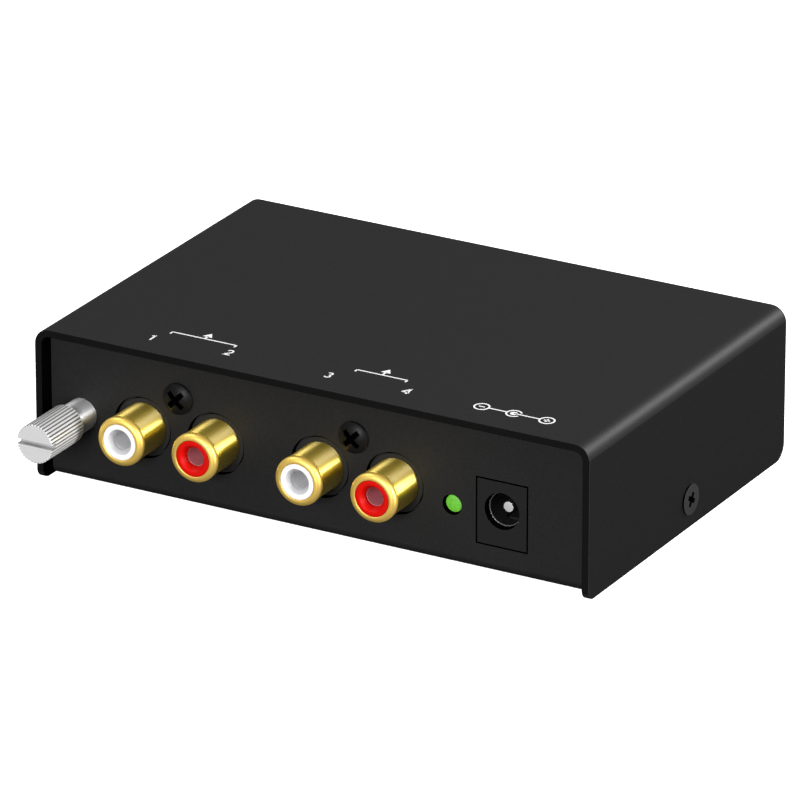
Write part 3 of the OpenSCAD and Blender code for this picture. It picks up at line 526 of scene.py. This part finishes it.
# Painted shade: darker copies of the nickel for the faces in the slot and the flanks in the knurl
# valleys.
slot_painted_shade = coating("slot_painted_shade", (0.40, 0.40, 0.40), 0.5, metal=0.3, grain=0.0004,
                      tint=0.06, relief=0.000004, play=0.05)
knurl_groove_painted_shade = coating("knurl_groove_painted_shade", (0.20, 0.20, 0.20), 0.5, metal=0.3, grain=0.0004,
                        tint=0.1, relief=0.000004, play=0.05)
post = turned(GROUND_X, GROUND_Z, [
    (POST_BORE, POST_FRONT, 0), (POST_REACH, POST_FRONT, 0.18), (POST_REACH, PANEL_FRONT, 0.12),
    (POST_NECK, PANEL_FRONT, 0), (POST_NECK, POST_BACK, 0.2), (POST_BORE, POST_BACK, 0)])
piece("ground_terminal_post", post, [satin_nickel], stands_for=["ground_post"])
dress("ground_nut", nickel)
dress("ground_strap", tin)
dress("ground_screw_ring", coating("black_spring_steel", (0.05, 0.05, 0.05), 0.4, metal=1.0,
                                   relief=0.000002))

knob = bmesh.new()
rim = bmesh.ops.create_circle(knob, segments=3 * KNURLS,
                              radius=(KNOB_REACH - 0.05) * MM)["verts"]
for i, vert in enumerate(rim):
    closer = (0, 0.2, 0.1)[i % 3] * 2 * math.pi / KNURLS
    vert.co.rotate(Matrix.Rotation(-closer if i % 3 == 0 else closer, 3, "Z"))
    if i % 3 == 2:
        vert.co *= 1 - KNURL_DEPTH / KNOB_REACH
edge = list(knob.edges)
bmesh.ops.edgeloop_fill(knob, edges=edge)
for step, reach in ((0.08, KNOB_REACH), (KNOB_LENGTH - 0.18, KNOB_REACH),
                    (0.1, KNOB_REACH - 0.1)):
    grown = bmesh.ops.extrude_edge_only(knob, edges=edge)["geom"]
    edge = [g for g in grown if isinstance(g, bmesh.types.BMEdge) and g.is_boundary]
    rim = [g for g in grown if isinstance(g, bmesh.types.BMVert)]
    was = max(math.hypot(v.co.x, v.co.y) for v in rim)
    bmesh.ops.scale(knob, vec=(reach * MM / was, reach * MM / was, 1), verts=rim)
    bmesh.ops.translate(knob, vec=(0, 0, step * MM), verts=rim)
bmesh.ops.edgeloop_fill(knob, edges=edge)
bmesh.ops.rotate(knob, cent=(0, 0, 0), matrix=Matrix.Rotation(math.radians(-90), 3, "X"),
                 verts=knob.verts)
slot_tool = bmesh.new()
block(slot_tool, (-5, -1, -SLOT_HALF), (5, SLOT_DEPTH, SLOT_HALF))
knob = carved(knob, slot_tool)
# Painted shade in the slot and along the knurl valleys.
for face in knob.faces:
    middle = face.calc_center_median() / MM
    in_slot = abs(middle.z) < SLOT_HALF + 0.01 and 0.01 < middle.y < SLOT_DEPTH + 0.01
    face.material_index = in_slot and (abs(face.normal.z) > 0.9 or face.normal.y < -0.9)
    in_groove = math.hypot(middle.x, middle.z) < KNOB_REACH - 0.06
    if in_groove and abs(face.normal.y) < 0.1 and not in_slot:
        face.material_index = 2
bmesh.ops.translate(knob, vec=Vector((GROUND_X, POST_FRONT - KNOB_LENGTH, GROUND_Z)) * MM,
                    verts=knob.verts)
piece("thumbscrew_head", knob, [knob_nickel, slot_painted_shade, knurl_groove_painted_shade],
      body="thumbscrew", stands_for=["ground_screw"], smooth=5)

shank = turned(GROUND_X, GROUND_Z, [
    (0, POST_FRONT - 0.3, 0), (1.26, POST_FRONT - 0.3, 0), (1.26, -23.5, 0), (1.2, -23.5, 0),
    (1.2, -22.9, 0), (1.45, -22.8, 0), (1.45, -22.15, 0.2), (0, -22.15, 0)],
    steps=48, closed=False)
ridge = [shank.verts.new(((GROUND_X + r) * MM, (POST_FRONT + y) * MM, GROUND_Z * MM))
         for r, y in ((1.2, 0.03), (1.49, 0.26), (1.2, 0.49))]
crest = [shank.edges.new((ridge[0], ridge[1])), shank.edges.new((ridge[1], ridge[2])),
         shank.edges.new((ridge[2], ridge[0]))]
bmesh.ops.spin(shank, geom=ridge + crest, cent=(GROUND_X * MM, 0, GROUND_Z * MM), axis=(0, 1, 0),
               dvec=(0, THREAD_PITCH * MM / TURN_STEPS, 0), angle=2 * math.pi * THREAD_TURNS,
               steps=TURN_STEPS * THREAD_TURNS)
bmesh.ops.holes_fill(shank, edges=[e for e in shank.edges if e.is_boundary], sides=4)
piece("thumbscrew_thread", shank, [nickel], body="thumbscrew", smooth=40)

# ---- Power socket -----------------------------------------------------------
# A moulded black barrel socket, flush in its square cut-out. A nickel-plated pin stands in the
# middle of its bore, and a leaf spring under the bore presses on the plug's sleeve.

JACK_X, JACK_Z = 34.6, 11.2
MOUTH_REACH, MOUTH_DEPTH, BORE_REACH = 3.2, 1.2, 2.85
PIN_REACH, PIN_FRONT, PIN_BACK = 1.0, -29.6, -17.4


def on_step(edge):
    """True for an edge of the ring where the mouth steps down to the bore."""
    return all(abs(math.hypot(v.co.x - JACK_X * MM, v.co.z - JACK_Z * MM) - BORE_REACH * MM) < 3e-6
               and abs(v.co.y - (PANEL_FRONT + MOUTH_DEPTH) * MM) < 3e-6 for v in edge.verts)


jack = softened("power_jack_body", 0.05 * MM, leave=on_step)
bmesh.ops.bevel(jack, geom=[e for e in jack.edges if on_step(e)], offset=0.16 * MM,
                offset_type="OFFSET", segments=6, profile=0.5, affect="EDGES", material=-1,
                clamp_overlap=True)
# Painted light and shade on one black moulding: painted shade on the mouth wall and the body's
# sides, painted light on the bore walls, a painted highlight on the rounded step.
for face in jack.faces:
    middle, forward = face.calc_center_median() / MM, -face.normal.y
    out = math.hypot(middle.x - JACK_X, middle.z - JACK_Z)
    in_mouth, sunk = out < MOUTH_REACH + 0.02, middle.y > PANEL_FRONT + 0.06
    face.material_index = in_mouth and sunk
    if out > 4 and abs(forward) < 0.95:
        face.material_index = 2
    if BORE_REACH - 0.15 < out < BORE_REACH + 0.2 and 0.08 < forward < 0.97:
        face.material_index = 3
    if in_mouth and (out > MOUTH_REACH - 0.1 or forward > 0.99):
        face.material_index = 2 if sunk else 0
pin_nickel = coating("pin_nickel", (0.62, 0.62, 0.62), 0.45, metal=0.4, grain=0.0004, tint=0.04,
                     relief=0.000002)
jack_black = coating("satin_moulded_black", (0.0095, 0.0095, 0.0098), 0.5, grain=0.0003,
                     tint=0.15, relief=0.000004, specular=0.16)
# Painted highlight: a light grey for the rounded step where the mouth meets the bore.
edge_glint = coating("painted_edge_glint", (0.09, 0.09, 0.09), 0.3, grain=0.0006, tint=0.1,
                     relief=0.000001)
# Painted light: a lighter, glossier copy of the moulded black for the bore walls.
bore_painted_light = coating("moulded_black_bore_painted_light", (0.018, 0.018, 0.0185), 0.28, grain=0.0006,
                     tint=0.1, relief=0.000001, specular=0.4)
piece("power_socket_body", jack, [jack_black, bore_painted_light, painted_recess_shade, edge_glint],
      stands_for=["power_jack_body"], flats=True)
pin = turned(JACK_X, JACK_Z, [
    (0, PIN_FRONT, 0), (PIN_REACH, PIN_FRONT, 0.2), (PIN_REACH, PIN_BACK, 0), (0, PIN_BACK, 0)],
    steps=64, closed=False)
# Painted shade: only the pin's front face keeps the bright nickel; its sides take the near-black
# tin.
for face in pin.faces:
    face.material_index = face.calc_center_median().y > (PIN_FRONT + 0.01) * MM
block(pin, (JACK_X - 1, PIN_BACK - 0.4, BOARD_TOP), (JACK_X + 1, PIN_BACK, JACK_Z))
# Painted shade: a near-black copy of tin for the pin's sides and the spring deep in the bore.
tin_painted_shade = coating("tin_painted_shade", (0.02, 0.02, 0.02), 0.6, metal=0.5, grain=0.0005, tint=0.1,
                   relief=0.000002)
piece("power_socket_pin", pin, [pin_nickel, tin_painted_shade],
      stands_for=["power_jack_pin"])
dress("power_jack_spring", tin_painted_shade)

# ---- Lamp -------------------------------------------------------------------
# A 3 mm green lamp behind the panel: tinted diffusing resin, cast round its two wires, glowing.
# It stands on its bent wires and looks out of a 3.5 mm hole.

LAMP_X, LAMP_Z, LAMP_REACH, FLANGE_REACH = 25.4, 10.45, 1.5, 1.95

green = coating("green_resin", (0.10, 0.36, 0.03), 0.45, grain=0.0006, tint=0.35, relief=0.00001,
                specular=0.25)
resin = green.node_tree.nodes["Principled BSDF"]
speckle = green.node_tree.nodes["Mix"]
green.node_tree.links.new(speckle.outputs["Result"], resin.inputs["Emission Color"])
resin.inputs["Emission Strength"].default_value = 0.42
lens = turned(LAMP_X, LAMP_Z, [
    (0, -31.4, 0), (0.55, -31.36, 0), (1.0, -31.265, 0), (LAMP_REACH, -31.1, 0.08),
    (LAMP_REACH, -27.2, 0), (FLANGE_REACH, -27.2, 0.08), (FLANGE_REACH, -26.2, 0.08),
    (0, -26.2, 0)], steps=64, closed=False)
piece("green_lamp", lens, [green], stands_for=["lamp_lens"], smooth=40)
dress("lamp_legs", tin)

# ---- Cover ------------------------------------------------------------------
# A folded U of 1.3 mm steel, a top and two side flaps, slid over the chassis from above.
# Powder coated like the chassis, its bends smoother. Painted light and shade: a glossier copy on
# the bends paints the highlight line, darker finishes paint shade on the flaps, the cut edges and
# the inside.

# Painted highlight: a glossier copy of the coat for the bends, its colour between the top's and the
# flaps' painted shade.
bend_powder_painted_highlight = coating("black_powder_coat_bend_painted_highlight", (0.0085, 0.0085, 0.0087), 0.51, grain=0.00032,
                      tint=0.4, relief=0.00002, play=0.015, specular=0.18)
cover = softened("top_cover", 0.17 * MM)
COVER_HALF_WIDTH, COVER_HALF_DEPTH, COVER_HEIGHT, COVER_WALL = 52, 34.5, 27, 1.3
INK = 0.015 * MM
top_z = max(v.co.z for v in cover.verts)
flat_top = [v for v in cover.verts if v.co.z > top_z - 1e-6]
bmesh.ops.translate(cover, vec=(0, 0, -INK), verts=flat_top)
# Painted shade on the cut edges, the inside and the flaps, painted highlight on the bends.
for face in cover.faces:
    middle, way = face.calc_center_median() / MM, face.normal
    inside = (abs(middle.x) < COVER_HALF_WIDTH - COVER_WALL + 0.05
              and middle.z < COVER_HEIGHT - COVER_WALL + 0.05)
    cut_edge = abs(way.y) > 0.9 and abs(middle.y) > COVER_HALF_DEPTH - 0.1
    flap = abs(way.x) > 0.99
    bend = abs(way.x) > 0.05 and abs(way.y) < 0.02
    face.material_index = 1 if cut_edge else 3 if inside else 2 if flap else 4 if bend else 0
piece("folded_cover", cover, [powder, shade_black, flap_powder_painted_shade, painted_recess_shade, bend_powder_painted_highlight],
      stands_for=["top_cover"], flats=True)

# ---- Cover screws -----------------------------------------------------------
# One black steel screw at each side, through the flap into the chassis tab.
# Like the housing screws it is cold headed with a cross recess, and black oxide over all; its head
# takes a lighter copy of the oxide, painted light.

SIDE_Y, SIDE_Z = 0.5, 5.0
SIDE_HEAD, SIDE_RISE, SIDE_SHANK, SIDE_LENGTH = 2.65, 0.3, 1.5, 3.4

# Painted light: a lighter copy of the black oxide for these heads.
oxide_painted_light = coating("black_oxide_painted_light", (0.019, 0.019, 0.019), 0.45, grain=0.0005, tint=0.15,
                     relief=0.000003, specular=0.16)
side_screws = bmesh.new()
for side in (-1, 1):
    head = turned(0, 0, [
        (0, -SIDE_RISE, 0), (SIDE_HEAD, -SIDE_RISE, 0.04), (SIDE_HEAD, 0, 0.02),
        (SIDE_SHANK, 1.1, 0), (SIDE_SHANK, SIDE_LENGTH, 0.2), (0, SIDE_LENGTH, 0)],
        steps=64, closed=False)
    bmesh.ops.rotate(head, cent=(0, 0, 0), matrix=Matrix.Rotation(math.radians(-90), 3, "X"),
                     verts=head.verts)
    cross = cross_tool(1.45, 0.95, 0.6)
    bmesh.ops.transform(cross, verts=cross.verts,
                        matrix=Matrix.Translation((0, 0, SIDE_RISE * MM))
                        @ Matrix.Rotation(math.radians(-30), 4, "Z"))
    head = carved(head, cross)
    # All but the head's top face, the recess included, take the painted recess shade.
    for face in head.faces:
        face.material_index = face.calc_center_median().z < (SIDE_RISE - 0.03) * MM
    held = bpy.data.meshes.new("head")
    head.to_mesh(held)
    head.free()
    held.transform(Matrix.Translation(Vector((side * COVER_HALF_WIDTH, SIDE_Y, SIDE_Z)) * MM)
                   @ Matrix.Rotation(math.radians(90 * side), 4, "Y"))
    side_screws.from_mesh(held)
    bpy.data.meshes.remove(held)
piece("cover_screws", side_screws, [oxide_painted_light, painted_recess_shade],
      stands_for=["side_screws"], smooth=32)

# ---- Marks on the cover -----------------------------------------------------
# White ink, screen printed on the powder coat: a plain number behind each socket, a bar with an
# arrow for each pair, and the general signs for direct current and for a plug with its plus inside.

ink = coating("white_ink", (0.80, 0.80, 0.80), 0.5, grain=0.0003, tint=0.03, relief=0.000002)
print_z = (top_z - INK) / MM


def printed(name, mesh):
    """Gives flat marks the thickness of the ink and lays them on the cover."""
    flat = list(mesh.faces)
    bmesh.ops.recalc_face_normals(mesh, faces=mesh.faces)
    grown = bmesh.ops.extrude_face_region(mesh, geom=flat, use_keep_orig=True)["geom"]
    bmesh.ops.translate(mesh, vec=(0, 0, INK),
                        verts=[g for g in grown if isinstance(g, bmesh.types.BMVert)])
    piece(name, mesh, [ink])


def bar(mesh, x0, y0, x1, y1, width):
    """Straight stroke between two points on the cover, in mm."""
    along = Vector((x1 - x0, y1 - y0, 0))
    across = Vector((-along.y, along.x, 0)).normalized() * width / 2
    start, end = Vector((x0, y0, print_z)), Vector((x1, y1, print_z))
    mesh.faces.new([mesh.verts.new(p * MM) for p in
                    (start - across, end - across, end + across, start + across)])


def loop(mesh, x, y, inner, outer, start=0, sweep=360):
    """Ring, or part of one, or a disc where inner is 0, in mm."""
    reach = [mesh.verts.new(Vector((x + r, y, print_z)) * MM) for r in (inner, outer)]
    line = mesh.edges.new(reach)
    bmesh.ops.rotate(mesh, cent=Vector((x, y, print_z)) * MM, verts=reach,
                     matrix=Matrix.Rotation(math.radians(start), 3, "Z"))
    bmesh.ops.spin(mesh, geom=reach + [line], cent=Vector((x, y, print_z)) * MM, axis=(0, 0, 1),
                   angle=math.radians(sweep), steps=max(8, sweep // 9), use_merge=sweep == 360)


def arrow(mesh, x, y, way):
    """Arrow head that points along Y, in mm."""
    mesh.faces.new([mesh.verts.new(Vector(p) * MM) for p in
                    ((x - 0.9, y, print_z), (x + 0.9, y, print_z), (x, y + way * 1.5, print_z))])


STROKE = 0.3
one = bmesh.new()
bar(one, -32.63, -29.85, -32.63, -27.65, STROKE)
bar(one, -32.6, -27.75, -33.1, -28.15, STROKE)
printed("number_one", one)

two = bmesh.new()
loop(two, -18.43, -27.72, 0.32, 0.62, -20, 190)
bar(two, -17.9, -27.98, -19.0, -29.2, STROKE)
bar(two, -19.1, -29.2, -17.8, -29.2, STROKE)
printed("number_two", two)

three = bmesh.new()
loop(three, 0.62, -28.05, 0.27, 0.56, -90, 240)
loop(three, 0.62, -29.05, 0.33, 0.63, 210, 240)
printed("number_three", three)

four = bmesh.new()
bar(four, 15.4, -29.4, 15.4, -27.2, STROKE)
bar(four, 15.4, -27.3, 14.4, -28.75, STROKE)
bar(four, 14.3, -28.8, 15.75, -28.8, STROKE)
printed("number_four", four)

for name, x0, x1, y, way in (("output_mark", -31.1, -18.9, -25.0, -1),
                             ("input_mark", 3.5, 12.9, -24.3, 1)):
    mark = bmesh.new()
    middle = (x0 + x1) / 2
    bar(mark, x0, y, x1, y, STROKE)
    for x in (x0, x1):
        bar(mark, x, y, x, y - 0.8, STROKE)
    bar(mark, middle, y + 0.15, middle, y + 1.2, STROKE)
    arrow(mark, middle, y + (1.1 if way > 0 else 0.9), 1)
    printed(name, mark)

RING, RING_Y, DOT, SIGN = 1.4, -28.05, 0.62, 0.55
MINUS_X, PLUG_X, PLUS_X = 28.77, 34.66, 40.71
plug = bmesh.new()
for x in (MINUS_X, PLUS_X):
    loop(plug, x, RING_Y, RING - STROKE, RING)
    bar(plug, x - SIGN, RING_Y, x + SIGN, RING_Y, STROKE)
bar(plug, PLUS_X, RING_Y - SIGN, PLUS_X, RING_Y + SIGN, STROKE)
loop(plug, PLUG_X, RING_Y, RING - STROKE, RING, 30, 300)
loop(plug, PLUG_X, RING_Y, 0.001, DOT)
bar(plug, MINUS_X + RING, RING_Y, PLUG_X - RING, RING_Y, STROKE)
bar(plug, PLUG_X, RING_Y, PLUS_X - RING, RING_Y, STROKE)
printed("plug_polarity", plug)
